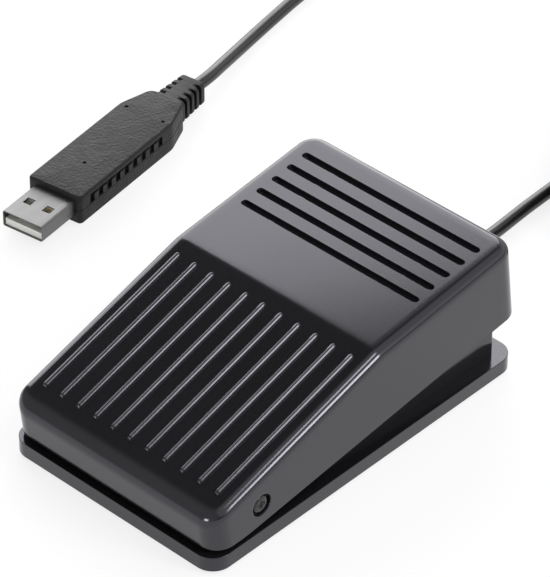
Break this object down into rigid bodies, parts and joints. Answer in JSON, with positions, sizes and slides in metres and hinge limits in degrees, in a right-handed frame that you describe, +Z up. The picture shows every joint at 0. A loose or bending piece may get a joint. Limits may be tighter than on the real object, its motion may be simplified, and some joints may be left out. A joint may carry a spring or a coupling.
{
  "type": "foot pedal switch",
  "caption": "Foot pedal switch: a hinged treadle with tread ribs and cross slots over a low base with a return spring and lever microswitch, on a coiled lead with a USB plug.",
  "frame": {"origin": "on the floor under the feet, below the middle of the base", "axes": "+Z up, +Y from the low front of the pedal to its high rear where the lead leaves, +X to the right"},
  "size_m": [0.155, 0.2302, 0.0372],
  "materials": {
    "gloss_black": "smooth semi-gloss moulding",
    "matte_black": "finely textured moulding",
    "black_rubber": "matte",
    "cord_jacket": "satin jacket",
    "plated_steel": "bright plated",
    "spring_steel": "drawn wire and strip",
    "contact_brass": "plated",
    "switch_plastic": "moulded",
    "plunger_red": "moulded",
    "wire_red": "smooth insulation",
    "insulator_white": "moulded",
    "board_green": "solder mask",
    "chip_black": "moulded package"
  },
  "bodies": {
    "base": {"base_tray": "gloss_black", "plug_lower_shell": "matte_black", "plug_upper_shell": "matte_black", "cable_clamp": "matte_black", "cable_tie": "matte_black", "rubber_feet": "black_rubber", "cable_grommet": "black_rubber", "plug_strain_relief": "black_rubber", "cable_lead": "cord_jacket", "cable_coil": "cord_jacket", "cable_tail": "cord_jacket", "hinge_screws": "plated_steel", "switch_screws": "plated_steel", "clamp_screws": "plated_steel", "usb_shell": "plated_steel", "return_spring": "spring_steel", "switch_terminals": "contact_brass", "usb_contacts": "contact_brass", "switch_case": "switch_plastic", "switch_cover": "switch_plastic", "signal_wires": "wire_red", "usb_insulator": "insulator_white", "controller_board": "board_green", "controller_chip": "chip_black"},
    "pedal": {"pedal_shell": "gloss_black"},
    "lever": {"switch_lever": "spring_steel"},
    "plunger": {"switch_plunger": "plunger_red"}
  },
  "joints": [
    {"name": "pedal_hinge", "type": "hinge", "parent": "base", "child": "pedal", "pos_m": [0, -0.035, 0.0121], "axis": [-1, 0, 0], "range_deg": [0, 6], "stiffness_Nm_per_rad": 2, "springref_deg": -5.73, "deforming": ["return_spring"]},
    {"name": "lever_pivot", "type": "hinge", "parent": "base", "child": "lever", "pos_m": [-0.01, 0.0141, 0.0214], "axis": [-1, 0, 0], "range_deg": [0, 19.3]},
    {"name": "plunger_slide", "type": "slide", "parent": "base", "child": "plunger", "axis": [0, 0, -1], "range_m": [0, 0.00133]}
  ],
  "couplings": [
    {"joint": "lever_pivot", "follows": "pedal_hinge", "ratio": 3.2},
    {"joint": "plunger_slide", "follows": "pedal_hinge", "m_per_rad": 0.0126}
  ]
}
